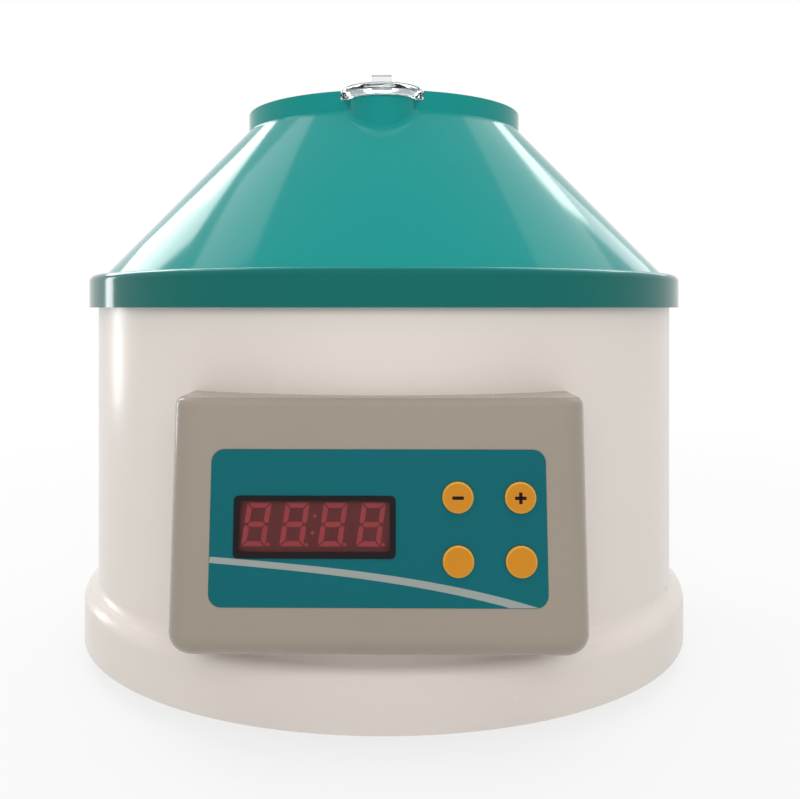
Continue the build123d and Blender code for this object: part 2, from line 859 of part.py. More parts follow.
label_front = label_thickness - label_recess
with BuildPart() as control_label:
    with BuildSketch(panel.offset(-label_recess)):
        RectangleRounded(label_width, label_height, label_corner)
        with Locations((window_x, window_y)):
            RectangleRounded(window_width + 2 * fit_gap, window_height + 2 * fit_gap, window_corner, mode=Mode.SUBTRACT)
        with Locations(*key_places):
            Circle(key_radius + key_gap, mode=Mode.SUBTRACT)
    extrude(amount=label_thickness)
keep(control_label, "control_label")

with BuildPart() as display_window:
    with BuildSketch(panel.offset(window_proud)):
        with Locations((window_x, window_y)):
            RectangleRounded(window_width, window_height, window_corner)
    extrude(amount=-window_thickness)
keep(display_window, "display_window")

# Four-digit display with its raised segments, and the board behind it

display_face = panel.offset(display_depth - board_depth)
with BuildPart() as led_display:
    with BuildSketch(board_plane):
        with Locations((window_x, window_y)):
            Rectangle(display_width, display_height)
    extrude(amount=display_depth)
keep(led_display, "led_display")

half_width = digit_width / 2
half_height = digit_height / 2
inner_width = half_width - segment_width
inner_height = half_height - segment_width
half_segment = segment_width / 2
slant = tan(radians(digit_slant))
digit_centres = [window_x + digit_shift + digit_pitch * (k - 1.5) for k in range(4)]


def top_segment(gap):
    """Corners of a digit's top segment, mitred at both ends"""
    return [
        (gap - half_width, half_height),
        (half_width - gap, half_height),
        (inner_width - gap, inner_height),
        (gap - inner_width, inner_height),
    ]


def side_segment(gap):
    """Corners of a digit's upper right segment"""
    return [
        (half_width, half_height - gap),
        (inner_width, inner_height - gap),
        (inner_width, half_segment + gap),
        (half_width - half_segment, gap),
        (half_width, half_segment),
    ]


def middle_segment(gap):
    """Corners of a digit's middle segment, pointed at both ends"""
    point = half_width - half_segment - gap
    shoulder = point - half_segment
    return [
        (-point, 0),
        (-shoulder, half_segment),
        (shoulder, half_segment),
        (point, 0),
        (shoulder, -half_segment),
        (-shoulder, -half_segment),
    ]


def slanted(corners, across, up):
    """Corners turned over as asked, then slanted like the digit"""
    return [(x * across + y * up * slant, y * up) for x, y in corners]


with BuildPart() as led_segments:
    with BuildSketch(display_face):
        with Locations(*[(digit_x, digit_row) for digit_x in digit_centres]):
            for up in (-1, 1):
                Polygon(*slanted(top_segment(segment_gap), 1, up), align=None)
                for across in (-1, 1):
                    Polygon(*slanted(side_segment(segment_gap), across, up), align=None)
            Polygon(*slanted(middle_segment(segment_gap), 1, 1), align=None)
        with Locations((half_width + point_gap - half_height * slant, point_radius - half_height + digit_row)):
            with Locations(*[(digit_x, 0) for digit_x in digit_centres]):
                Circle(point_radius)
        for level in (-inner_height / 2, inner_height / 2):
            with Locations((window_x + digit_shift + level * slant, digit_row + level)):
                Circle(point_radius)
    extrude(amount=segment_thickness)
keep(led_segments, "led_segments")

with BuildPart() as control_board:
    with BuildSketch(board_plane):
        with Locations((0, -board_drop)):
            Rectangle(board_width, board_height)
        with Locations(*board_boss_places):
            Circle(screw_radius, mode=Mode.SUBTRACT)
    extrude(amount=-board_thickness)
keep(control_board, "control_board")

# Keys: a cap with a square flange behind the housing's wall and a stem, each over its own tactile switch

stem_end = board_depth - switch_body_height - key_travel - fit_gap
plunger_end = board_depth - switch_body_height / 2
with BuildPart() as tactile_switches:
    with BuildSketch(board_plane):
        with Locations(*key_places):
            Rectangle(switch_size, switch_size)
    extrude(amount=switch_body_height)
    with BuildSketch(board_plane.offset(switch_body_height)):
        with Locations(*key_places):
            Circle(plunger_radius + moving_gap)
    extrude(amount=-switch_body_height / 2 - key_travel - fit_gap, mode=Mode.SUBTRACT)
keep(tactile_switches, "tactile_switches")

for key_name, key_place in zip(key_names, key_places):
    with BuildPart() as key:
        with BuildSketch(panel.offset(-housing_wall)):
            with Locations(key_place):
                Circle(key_radius)
        extrude(amount=housing_wall + key_proud)
        chamfer(key.faces().sort_by(Axis((0, 0, 0), panel.z_dir))[-1].edges(), length=key_edge_chamfer)
        with BuildSketch(panel.offset(-housing_wall)):
            with Locations(key_place):
                Rectangle(key_flange, key_flange)
        extrude(amount=-key_flange_thickness)
        with BuildSketch(panel.offset(-housing_wall - key_flange_thickness)):
            with Locations(key_place):
                Circle(key_stem_radius)
        extrude(amount=housing_wall + key_flange_thickness - stem_end)
    keep(key, f"key_{key_name}")

    with BuildPart() as plunger:
        with BuildSketch(panel.offset(-stem_end)):
            with Locations(key_place):
                Circle(plunger_radius)
        extrude(amount=stem_end - plunger_end)
    keep(plunger, f"plunger_{key_name}")

# Rotor head: a cast dish on a hub, a skirt parallel to the pockets, webs and the six pockets

pocket_turns = [360 / place_count * k for k in range(place_count)]
pocket_radius = sleeve_radius + fit_gap
boss_radius = pocket_radius + pocket_wall
skirt_inner_side = boss_radius - pocket_wall / 2
skirt_outer_side = skirt_inner_side + skirt_thickness
hub_top = hub_bottom + hub_height
lean_in = radians(pocket_tilt)


def dish_height(depth, radius):
    """Height of the dish's surface at a depth below the mouths, at a radius"""
    side = (radius - mouth_circle - depth * sin(lean_in)) / cos(lean_in)
    return along_pocket(depth, side)[1]


with BuildPart() as rotor_head:
    with BuildSketch(Plane.XZ):
        Polygon(
            (adapter_radius, hub_bottom),
            (hub_radius, hub_bottom),
            (hub_radius, dish_height(dish_drop + dish_thickness, hub_radius)),
            along_pocket(dish_drop + dish_thickness, skirt_inner_side),
            along_pocket(skirt_length, skirt_inner_side),
            along_pocket(skirt_length, skirt_outer_side),
            along_pocket(dish_drop, skirt_outer_side),
            (hub_radius, dish_height(dish_drop, hub_radius)),
            (hub_radius, hub_top),
            (adapter_radius, hub_top),
            align=None,
        )
    revolve(axis=Axis.Z)
    for turn in pocket_turns:
        with BuildSketch(mouth_plane(turn)):
            Circle(boss_radius)
        extrude(amount=-pocket_length)
        with BuildSketch(radial_plane(turn + 180 / place_count)):
            Polygon(
                (hub_radius - web_overlap, hub_bottom + web_rise),
                (hub_radius - web_overlap, dish_height(dish_drop + dish_thickness / 2, hub_radius)),
                along_pocket(dish_drop + dish_thickness / 2, skirt_inner_side),
                along_pocket(skirt_length - dish_thickness, skirt_inner_side + web_overlap),
                align=None,
            )
        extrude(amount=web_thickness / 2, both=True)
    for turn in pocket_turns:
        with BuildSketch(mouth_plane(turn)):
            Circle(pocket_radius)
        extrude(amount=-pocket_length, mode=Mode.SUBTRACT)
keep(rotor_head, "rotor_head")

for number, turn in enumerate(pocket_turns, start=1):
    mouth = mouth_plane(turn)
    with BuildPart() as tube_sleeve:
        with BuildSketch(mouth):
            Circle(sleeve_rim_radius)
        extrude(amount=sleeve_rim_height)
        with BuildSketch(mouth):
            Circle(sleeve_radius)
        extrude(amount=-sleeve_length)
        with BuildSketch(mouth.offset(sleeve_rim_height)):
            Circle(sleeve_bore_radius)
        extrude(amount=-sleeve_bore_length, mode=Mode.SUBTRACT)
        with BuildSketch(mouth.offset(sleeve_floor - sleeve_length)):
            Circle(cushion_radius)
        extrude(amount=cushion_height, mode=Mode.SUBTRACT)
    keep(tube_sleeve, f"tube_sleeve_{number}")

with BuildPart() as sleeve_cushions:
    for turn in pocket_turns:
        with BuildSketch(mouth_plane(turn).offset(sleeve_floor - sleeve_length)):
            Circle(cushion_radius)
        extrude(amount=cushion_height)
keep(sleeve_cushions, "sleeve_cushions")

# Drive: shaft, adapter, washer and nut

with BuildPart() as motor_shaft:
    with BuildSketch(Plane.XY.offset(shaft_bottom)):
        Circle(shaft_radius)
    extrude(amount=shaft_top - shaft_bottom)
keep(motor_shaft, "motor_shaft")

with BuildPart() as rotor_adapter:
    with BuildSketch(Plane.XY.offset(hub_bottom - adapter_flange_height)):
        Circle(adapter_flange_radius)
    extrude(amount=adapter_flange_height)
    with BuildSketch(Plane.XY.offset(hub_bottom)):
        Circle(adapter_radius)
    extrude(amount=hub_height)
    with BuildSketch(Plane.XY.offset(hub_bottom - adapter_flange_height)):
        Circle(shaft_radius)
    extrude(amount=adapter_flange_height + hub_height, mode=Mode.SUBTRACT)
keep(rotor_adapter, "rotor_adapter")

with BuildPart() as rotor_washer:
    with BuildSketch(Plane.XY.offset(hub_top)):
        Circle(washer_radius)
        Circle(shaft_radius, mode=Mode.SUBTRACT)
    extrude(amount=washer_thickness)
keep(rotor_washer, "rotor_washer")

nut_bottom = hub_top + washer_thickness
nut_corner = nut_flats / 2 / cos(radians(30))
with BuildPart() as rotor_nut:
    with BuildSketch(Plane.XY.offset(nut_bottom)):
        RegularPolygon(nut_corner, 6)
    extrude(amount=nut_height)
    with BuildSketch(Plane.XY.offset(nut_bottom + nut_height)):
        Circle(nut_dome_radius)
    extrude(amount=nut_dome_height)
    chamfer(rotor_nut.edges().group_by(Axis.Z)[-1], length=nut_dome_chamfer)
    with BuildSketch(Plane.XY.offset(nut_bottom)):
        Circle(shaft_radius)
    extrude(amount=nut_height, mode=Mode.SUBTRACT)
keep(rotor_nut, "rotor_nut")

# Motor: can, end bell, bearings, magnets, brushes and the armature on the shaft

seat_outer = bearing_radius + motor_wall
bell_bottom = motor_top - bell_height
lower_bearing = motor_bottom + motor_floor
upper_bearing = motor_top - motor_floor - bearing_height
commutator_bottom = lower_bearing + bearing_height + commutator_gap
armature_bottom = commutator_bottom + commutator_height + motor_floor
can_inner = motor_radius - motor_wall
motor_screw_places = polar(motor_screw_circle, motor_screw_count, 45)

with BuildPart() as motor_can:
    with BuildSketch(Plane.XZ):
        Polygon(
            (shaft_clear_radius, motor_bottom),
            (motor_radius, motor_bottom),
            (motor_radius, bell_bottom),
            (can_inner, bell_bottom),
            (can_inner, lower_bearing),
            (seat_outer, lower_bearing),
            (seat_outer, lower_bearing + motor_seat_height),
            (bearing_radius, lower_bearing + motor_seat_height),
            (bearing_radius, lower_bearing),
            (shaft_clear_radius, lower_bearing),
            align=None,
        )
    revolve(axis=Axis.Z)
keep(motor_can, "motor_can")

with BuildPart() as motor_end_bell:
    with BuildSketch(Plane.XZ):
        Polygon(
            (shaft_clear_radius, motor_top),
            (motor_radius, motor_top),
            (motor_radius, bell_bottom),
            (seat_outer, bell_bottom),
            (seat_outer, upper_bearing),
            (bearing_radius, upper_bearing),
            (bearing_radius, motor_top - motor_floor),
            (shaft_clear_radius, motor_top - motor_floor),
            align=None,
        )
    revolve(axis=Axis.Z)
    with BuildSketch(Plane.XY.offset(motor_top)):
        with Locations(*motor_screw_places):
            Circle(screw_radius)
    extrude(amount=-bell_height, mode=Mode.SUBTRACT)
keep(motor_end_bell, "motor_end_bell")

with BuildPart() as motor_bearings:
    for bearing_bottom in (lower_bearing, upper_bearing):
        with BuildSketch(Plane.XY.offset(bearing_bottom)):
            Circle(bearing_radius)
            Circle(shaft_radius + running_gap, mode=Mode.SUBTRACT)
        extrude(amount=bearing_height)
keep(motor_bearings, "motor_bearings")

with BuildPart() as motor_magnets:
    with BuildSketch(Plane.XY.offset(armature_bottom + (armature_height - magnet_height) / 2)):
        Circle(can_inner)
        Circle(can_inner - magnet_thickness, mode=Mode.SUBTRACT)
        gap_half = motor_radius * tan(radians(90 - magnet_arc / 2))
        Polygon((0, 0), (motor_radius, gap_half), (motor_radius, -gap_half), align=None, mode=Mode.SUBTRACT)
        Polygon((0, 0), (-motor_radius, gap_half), (-motor_radius, -gap_half), align=None, mode=Mode.SUBTRACT)
    extrude(amount=magnet_height)
keep(motor_magnets, "motor_magnets")

with BuildPart() as brush_holders:
    with BuildSketch(Plane.XY.offset(commutator_bottom + (commutator_height - brush_size) / 2)):
        Circle(can_inner)
        Rectangle(2 * motor_radius, brush_size, mode=Mode.INTERSECT)
        Circle(commutator_radius + moving_gap, mode=Mode.SUBTRACT)
    extrude(amount=brush_size)
keep(brush_holders, "brush_holders")

with BuildPart() as armature:
    with BuildSketch(Plane.XY.offset(armature_bottom)):
        Circle(armature_radius)
        Circle(shaft_radius, mode=Mode.SUBTRACT)
        with PolarLocations(armature_radius, slot_count):
            Rectangle(slot_depth, slot_width, mode=Mode.SUBTRACT)
    extrude(amount=armature_height)
    # Ends of the windings, round the shaft
    for end in (armature_bottom - motor_floor, armature_bottom + armature_height):
        with BuildSketch(Plane.XY.offset(end)):
            Circle(armature_radius - slot_depth)
            Circle(shaft_radius + motor_floor, mode=Mode.SUBTRACT)
        extrude(amount=motor_floor)
keep(armature, "armature")

with BuildPart() as commutator:
    with BuildSketch(Plane.XY.offset(commutator_bottom)):
        Circle(commutator_radius)
        Circle(shaft_radius, mode=Mode.SUBTRACT)
    extrude(amount=commutator_height)
keep(commutator, "commutator")

# Motor plate on three rubber isolators and posts

plate_arm = isolator_radius + motor_floor
with BuildPart() as motor_plate:
    with BuildSketch(Plane.XY.offset(motor_top)):
        with Locations(*post_places):
            Circle(plate_arm)
        make_hull()
        Circle(seat_outer, mode=Mode.SUBTRACT)
        with Locations(*motor_screw_places):
            Circle(screw_radius + fit_gap, mode=Mode.SUBTRACT)
    extrude(amount=motor_plate_thickness)
keep(motor_plate, "motor_plate")

with BuildPart() as vibration_isolators:
    with BuildSketch(Plane.XY.offset(post_top)):
        with Locations(*post_places):
            Circle(isolator_radius)
    extrude(amount=isolator_height)
keep(vibration_isolators, "vibration_isolators")

with BuildPart() as motor_posts:
    with BuildSketch(Plane.XY.offset(plate_top)):
        with Locations(*post_places):
            RegularPolygon(post_radius, 6)
    extrude(amount=post_top - plate_top)
keep(motor_posts, "motor_posts")

# Mains inlet, fuse and switch in the pad at the back

pin_places = [
    (-inlet_x - pin_pitch / 2, pin_row),
    (-inlet_x + pin_pitch / 2, pin_row),
    (-inlet_x, earth_row),
]

with BuildPart() as power_inlet:
    with BuildSketch(rear):
        with Locations((-inlet_x, 0)):
            Rectangle(*inlet_flange)
    extrude(amount=rear_flange_thickness)
    with BuildSketch(rear):
        with Locations((-inlet_x, 0)):
            Rectangle(*inlet_body)
    extrude(amount=-inlet_depth)
    with BuildSketch(rear.offset(rear_flange_thickness)):
        with Locations((-inlet_x, 0)):
            socket = Rectangle(*inlet_socket)
            chamfer(socket.vertices().group_by(Axis.Y)[-1], length=inlet_corner)
    extrude(amount=-inlet_socket_depth, mode=Mode.SUBTRACT)
    with BuildSketch(rear):
        with Locations(*pin_places):
            Rectangle(*pin_size)
    extrude(amount=-inlet_depth, mode=Mode.SUBTRACT)
keep(power_inlet, "power_inlet")

with BuildPart() as inlet_pins:
    with BuildSketch(rear.offset(rear_flange_thickness - inlet_socket_depth + pin_length)):
        with Locations(*pin_places):
            Rectangle(*pin_size)
    extrude(amount=-pin_length - inlet_depth - pin_tail + inlet_socket_depth - rear_flange_thickness)
keep(inlet_pins, "inlet_pins")

with BuildPart() as fuse_holder:
    with BuildSketch(rear):
        with Locations((-fuse_x, 0)):
            Circle(fuse_flange_radius)
    extrude(amount=rear_flange_thickness)
    with BuildSketch(rear):
        with Locations((-fuse_x, 0)):
            Circle(fuse_body_radius)
    extrude(amount=-fuse_depth)
    with BuildSketch(rear.offset(rear_flange_thickness)):
        with Locations((-fuse_x, 0)):
            Circle(fuse_radius)
    extrude(amount=-fuse_depth, mode=Mode.SUBTRACT)
keep(fuse_holder, "fuse_holder")

with BuildPart() as fuse_cap:
    with BuildSketch(rear.offset(rear_flange_thickness)):
        with Locations((-fuse_x, 0)):
            Circle(fuse_cap_radius)
    extrude(amount=fuse_cap_height)
    with BuildSketch(rear.offset(rear_flange_thickness)):
        with Locations((-fuse_x, 0)):
            Circle(fuse_radius)
    extrude(amount=-fuse_cap_plug)
    with BuildSketch(rear.offset(rear_flange_thickness + fuse_cap_height)):
        with Locations((-fuse_x, 0)):
            Rectangle(2 * fuse_cap_radius, fuse_cap_slot_width)
    extrude(amount=-fuse_cap_slot_depth, mode=Mode.SUBTRACT)
keep(fuse_cap, "fuse_cap")

pivot_y = pad_distance - switch_pivot_depth
rocker_half = switch_opening[1] / 2 - rocker_clearance
rocker_width = switch_opening[0] - 2 * moving_gap
rocker_end = rocker_middle + rocker_half * tan(radians(rocker_throw))
rocker_plane = Plane(
    origin=(switch_x, pivot_y, pad_centre_height),
    x_dir=(0, sin(radians(rocker_throw)), cos(radians(rocker_throw))),
    z_dir=(-1, 0, 0),
)

with BuildPart() as switch_frame:
    with BuildSketch(rear):
        with Locations((-switch_x, 0)):
            Rectangle(*switch_flange)
    extrude(amount=rear_flange_thickness)
    with BuildSketch(rear):
        with Locations((-switch_x, 0)):
            Rectangle(*switch_body)
    extrude(amount=-switch_depth)
    with BuildSketch(rear.offset(rear_flange_thickness)):
        with Locations((-switch_x, 0)):
            Rectangle(*switch_opening)
    extrude(amount=-switch_well_depth, mode=Mode.SUBTRACT)
    with BuildSketch(rocker_plane):
        Circle(trunnion_radius + running_gap)
    extrude(amount=rocker_width / 2 + trunnion_length + moving_gap, both=True, mode=Mode.SUBTRACT)
keep(switch_frame, "switch_frame")

with BuildPart() as switch_rocker:
    with BuildSketch(rocker_plane):
        Polygon(
            (-rocker_half, rocker_end),
            (-rocker_half + rocker_clearance, -rocker_root),
            (rocker_half - rocker_clearance, -rocker_root),
            (rocker_half, rocker_end),
            (0, rocker_middle),
            align=None,
        )
    extrude(amount=rocker_width / 2, both=True)
    with BuildSketch(rocker_plane):
        Circle(trunnion_radius)
    extrude(amount=rocker_width / 2 + trunnion_length, both=True)
keep(switch_rocker, "switch_rocker")

# Power board with its parts, and the transformer, on the base plate

board_level = plate_top + standoff_height
board_top = board_level + board_thickness
with BuildPart() as board_standoffs:
    with BuildSketch(Plane.XY.offset(plate_top)):
        with Locations(*standoff_places):
            Circle(standoff_radius)
    extrude(amount=standoff_height)
keep(board_standoffs, "board_standoffs")

fin_pitch = (heat_sink_size[0] - fin_thickness) / (fin_count - 1)
with BuildPart() as power_board:
    with BuildSketch(Plane.XY.offset(board_level)):
        with Locations((0, power_board_y)):
            Rectangle(*power_board_size)
    extrude(amount=board_thickness)
    # Two capacitors and a finned heat sink soldered to the board
    with BuildSketch(Plane.XY.offset(board_top)):
        with Locations((capacitor_x, power_board_y), (capacitor_x + capacitor_pitch, power_board_y)):
            Circle(capacitor_radius)
    extrude(amount=capacitor_height)
    with BuildSketch(Plane.XY.offset(board_top)):
        with Locations((heat_sink_x, power_board_y)):
            Rectangle(heat_sink_size[0], fin_thickness)
            with GridLocations(fin_pitch, 0, fin_count, 1):
                Rectangle(fin_thickness, heat_sink_size[1])
    extrude(amount=heat_sink_size[2])
keep(power_board, "power_board")

with BuildPart() as transformer:
    with BuildSketch(Plane.XY.offset(plate_top)):
        with Locations((transformer_x, 0)):
            Rectangle(transformer_size[0], transformer_size[1])
    extrude(amount=transformer_size[2])
    with BuildSketch(Plane.XY.offset(plate_top + (transformer_size[2] - coil_size[2]) / 2)):
        with Locations((transformer_x, 0)):
            Rectangle(coil_size[0], coil_size[1])
    extrude(amount=coil_size[2])
keep(transformer, "transformer")

# Screws: each set has the plane under its heads, the places on it and the length of the shanks

below_plate = Plane(origin=(0, 0, shell_bottom), x_dir=(1, 0, 0), z_dir=(0, 0, -1))
in_foot = Plane(origin=(0, 0, foot_recess_depth), x_dir=(1, 0, 0), z_dir=(0, 0, -1))
below_ledge = Plane(origin=(0, 0, ledge_top - shell_wall), x_dir=(1, 0, 0), z_dir=(0, 0, -1))
inside_wall = Plane(origin=(0, -seat_distance, 0), x_dir=(1, 0, 0), z_dir=(0, 1, 0))
behind_board = Plane(origin=board_plane.offset(-board_thickness).origin, x_dir=(1, 0, 0), z_dir=-board_plane.z_dir)
on_motor_plate = Plane.XY.offset(motor_top + motor_plate_thickness)
foot_screw_length = foot_height - foot_recess_depth + plate_thickness + foot_collar_height

screw_sets = {
    "base_screws": (below_plate, base_boss_places, plate_thickness + base_boss_height - shell_wall),
    "cover_screws": (below_ledge, cover_screw_places, shell_wall + body_top - ledge_top),
    "housing_screws": (inside_wall, [(x, -z - panel_height) for x, z in housing_screw_places], housing_screw_length),
    "board_screws": (behind_board, [(x, -y) for x, y in board_boss_places], board_thickness + board_screw_length),
    "motor_screws": (on_motor_plate, motor_screw_places, motor_plate_thickness + bell_height),
    "foot_screws": (in_foot, foot_places, foot_screw_length),
}
for set_name, (head_plane, places, length) in screw_sets.items():
    shank_radius = foot_screw_radius if set_name == "foot_screws" else screw_radius
    head_radius = foot_screw_head_radius if set_name == "foot_screws" else screw_head_radius
    with BuildPart() as screw_set:
        with BuildSketch(head_plane):
            with Locations(*places):
                Circle(head_radius)
        extrude(amount=screw_head_height)
        with BuildSketch(head_plane):
            with Locations(*places):
                Circle(shank_radius)
        extrude(amount=-length)
    keep(screw_set, set_name)
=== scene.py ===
"""Looks of the table-top centrifuge: finishes, printed marks, small fasteners, light and camera."""
import json
from math import cos, pi, radians, sin

import bmesh
import bpy
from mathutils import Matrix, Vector
from mathutils.bvhtree import BVHTree


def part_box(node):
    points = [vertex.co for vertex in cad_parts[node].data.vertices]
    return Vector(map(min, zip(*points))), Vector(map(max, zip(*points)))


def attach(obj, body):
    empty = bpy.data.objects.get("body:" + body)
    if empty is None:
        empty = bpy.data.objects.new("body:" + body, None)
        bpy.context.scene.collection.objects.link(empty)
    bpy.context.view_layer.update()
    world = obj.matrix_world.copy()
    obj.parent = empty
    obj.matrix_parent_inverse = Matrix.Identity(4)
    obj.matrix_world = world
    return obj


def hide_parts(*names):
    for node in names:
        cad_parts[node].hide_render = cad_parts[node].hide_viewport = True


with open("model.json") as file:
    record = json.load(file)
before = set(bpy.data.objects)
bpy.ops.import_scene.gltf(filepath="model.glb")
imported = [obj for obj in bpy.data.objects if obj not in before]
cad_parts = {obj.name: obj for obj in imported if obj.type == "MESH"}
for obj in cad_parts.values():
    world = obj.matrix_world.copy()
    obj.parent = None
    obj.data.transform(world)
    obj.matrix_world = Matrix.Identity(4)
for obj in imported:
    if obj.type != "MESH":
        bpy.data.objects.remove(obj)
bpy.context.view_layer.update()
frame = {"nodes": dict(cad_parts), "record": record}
MM = 0.001

# The panel's own directions: across, up its lean and out of it
PANEL_LEAN = radians(7.8)
ACROSS = Vector((1, 0, 0))
UP_PANEL = Vector((0, sin(PANEL_LEAN), cos(PANEL_LEAN)))
OUT_PANEL = Vector((0, -cos(PANEL_LEAN), sin(PANEL_LEAN)))


# Camera at the photograph's viewing angle: level, its frame shifted instead of tilted

CAMERA_DISTANCE = 0.4614
CAMERA_HEIGHT = 0.1536
CAMERA_TURN = radians(0.75)
FOCAL_PIXELS = 951
PHOTO_WIDTH = 800
SENSOR = 36
FRAME_SHIFT = (0.02, -0.115)
NEAR_CLIP = 0.01


def add_camera():
    data = bpy.data.cameras.new("camera")
    data.sensor_width = SENSOR
    data.lens = FOCAL_PIXELS / PHOTO_WIDTH * SENSOR
    data.shift_x, data.shift_y = FRAME_SHIFT
    data.clip_start = NEAR_CLIP
    camera = bpy.data.objects.new("camera", data)
    camera.location = (
        CAMERA_DISTANCE * sin(CAMERA_TURN),
        -CAMERA_DISTANCE * cos(CAMERA_TURN),
        CAMERA_HEIGHT,
    )
    camera.rotation_euler = (pi / 2, 0, CAMERA_TURN)
    bpy.context.scene.collection.objects.link(camera)
    bpy.context.scene.camera = camera


add_camera()


# Materials


def linear(red, green, blue):
    """A colour given as 0 to 255 values of a screen, in the renderer's linear values"""
    def channel(value):
        value = value / 255
        return value / 12.92 if value <= 0.04045 else ((value + 0.055) / 1.055) ** 2.4

    return (channel(red), channel(green), channel(blue), 1)


def new_material(name):
    material = bpy.data.materials.new(name)
    material.use_nodes = True
    nodes = material.node_tree.nodes
    return material, nodes, material.node_tree.links, nodes["Principled BSDF"]


def noise(nodes, links, scale, detail=3, stretch=(1, 1, 1)):
    """Noise in the object's own coordinates, with the given number of features to a metre"""
    place = nodes.new("ShaderNodeTexCoord")
    mapping = nodes.new("ShaderNodeMapping")
    mapping.inputs["Scale"].default_value = stretch
    texture = nodes.new("ShaderNodeTexNoise")
    texture.inputs["Scale"].default_value = scale
    texture.inputs["Detail"].default_value = detail
    links.new(place.outputs["Object"], mapping.inputs["Vector"])
    links.new(mapping.outputs["Vector"], texture.inputs["Vector"])
    return texture.outputs["Fac"]


def vary_colour(nodes, links, shader, factor, low, high):
    mix = nodes.new("ShaderNodeMix")
    mix.data_type = "RGBA"
    mix.inputs["A"].default_value = low
    mix.inputs["B"].default_value = high
    links.new(factor, mix.inputs["Factor"])
    links.new(mix.outputs["Result"], shader.inputs["Base Color"])


# The part of the noise's range in which nearly all of its values lie
NOISE_LOW = 0.15
NOISE_HIGH = 0.85


def vary_roughness(nodes, links, shader, factor, low, high):
    spread = nodes.new("ShaderNodeMapRange")
    spread.inputs["From Min"].default_value = NOISE_LOW
    spread.inputs["From Max"].default_value = NOISE_HIGH
    spread.inputs["To Min"].default_value = low
    spread.inputs["To Max"].default_value = high
    links.new(factor, spread.inputs["Value"])
    links.new(spread.outputs["Result"], shader.inputs["Roughness"])


def add_bump(nodes, links, shader, factor, strength, depth):
    bump = nodes.new("ShaderNodeBump")
    bump.inputs["Strength"].default_value = strength
    bump.inputs["Distance"].default_value = depth
    links.new(factor, bump.inputs["Height"])
    links.new(bump.outputs["Normal"], shader.inputs["Normal"])


def shade(colour, share):
    return tuple(min(1, channel * share) for channel in colour[:3]) + (1,)


# Features to a metre in the broad noise of colour and gloss
PLASTIC_MOTTLE = 14
PLASTIC_GLOSS_PATCHES = 40
METAL_MOTTLE = 30
CLEAR_GLOSS_PATCHES = 60
CLEAR_WAVES = 120

PEEL_DEPTH = 0.1 * MM
TOOL_MARK_DEPTH = 0.05 * MM


def moulded(name, colour, rough, spread=0.04, grain=900, strength=0.06, gloss=0.5):
    """Injection-moulded plastic: a little mottled, with a fine orange peel"""
    material, nodes, links, shader = new_material(name)
    broad = noise(nodes, links, PLASTIC_MOTTLE)
    fine = noise(nodes, links, grain)
    vary_colour(nodes, links, shader, broad, shade(colour, 1 - spread), shade(colour, 1 + spread))
    patches = noise(nodes, links, PLASTIC_GLOSS_PATCHES)
    vary_roughness(nodes, links, shader, patches, rough * 0.85, rough * 1.2)
    add_bump(nodes, links, shader, fine, strength, PEEL_DEPTH)
    shader.inputs["Specular IOR Level"].default_value = gloss
    shader.inputs["IOR"].default_value = 1.5
    return material


def metal(name, colour, rough, stretch=(1, 1, 1), grain=600, strength=0.15):
    """Bare metal with the fine marks of turning, rolling or brushing"""
    material, nodes, links, shader = new_material(name)
    shader.inputs["Metallic"].default_value = 1
    marks = noise(nodes, links, grain, 4, stretch)
    mottle = noise(nodes, links, METAL_MOTTLE)
    vary_colour(nodes, links, shader, mottle, shade(colour, 0.93), shade(colour, 1.05))
    vary_roughness(nodes, links, shader, marks, rough * 0.8, rough * 1.3)
    add_bump(nodes, links, shader, marks, strength, TOOL_MARK_DEPTH)
    return material


def clear(name, tint, edge_shade_tint, rough, ior=1.45):
    """Clear plastic that light passes through, with painted shade: darker where it is seen edge on, standing
    in for the dark outlines at its edges
    """
    material, nodes, links, shader = new_material(name)
    weight = nodes.new("ShaderNodeLayerWeight")
    weight.inputs["Blend"].default_value = 0.35
    vary_colour(nodes, links, shader, weight.outputs["Facing"], tint, edge_shade_tint)
    shader.inputs["Transmission Weight"].default_value = 1
    shader.inputs["IOR"].default_value = ior
    patches = noise(nodes, links, CLEAR_GLOSS_PATCHES)
    vary_roughness(nodes, links, shader, patches, rough * 0.5, rough * 1.5)
    add_bump(nodes, links, shader, noise(nodes, links, CLEAR_WAVES), 0.05, PEEL_DEPTH)
    return material


CREAM = linear(228, 220, 212)
TEAL = linear(4, 144, 139)
# Painted shade: the ring's darker teal stands in for the lesser light on its upright face; the plastic is the
# same as the cone's
RING_SHADE_TEAL = linear(3, 104, 98)
RING_HEIGHT = 14.2 * MM
RING_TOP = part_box("cone_cover")[0].z + RING_HEIGHT
RING_BLEND = 1.2 * MM


def cover_plastic():
    """Teal plastic, with painted shade: a darker teal in the upright ring at its foot, standing in for the
    lesser light that face gets
    """
    material = moulded("teal_plastic", TEAL, 0.1, grain=500, strength=0.03, gloss=0.16)
    nodes, links = material.node_tree.nodes, material.node_tree.links
    shader = nodes["Principled BSDF"]
    mottled = shader.inputs["Base Color"].links[0].from_socket
    place = nodes.new("ShaderNodeTexCoord")
    parts = nodes.new("ShaderNodeSeparateXYZ")
    height = nodes.new("ShaderNodeMapRange")
    height.inputs["From Min"].default_value = RING_TOP - RING_BLEND
    height.inputs["From Max"].default_value = RING_TOP
    mix = nodes.new("ShaderNodeMix")
    mix.data_type = "RGBA"
    mix.inputs["A"].default_value = RING_SHADE_TEAL
    links.new(place.outputs["Object"], parts.inputs["Vector"])
    links.new(parts.outputs["Z"], height.inputs["Value"])
    links.new(height.outputs["Result"], mix.inputs["Factor"])
    links.new(mottled, mix.inputs["B"])
    links.new(mix.outputs["Result"], shader.inputs["Base Color"])
    return material


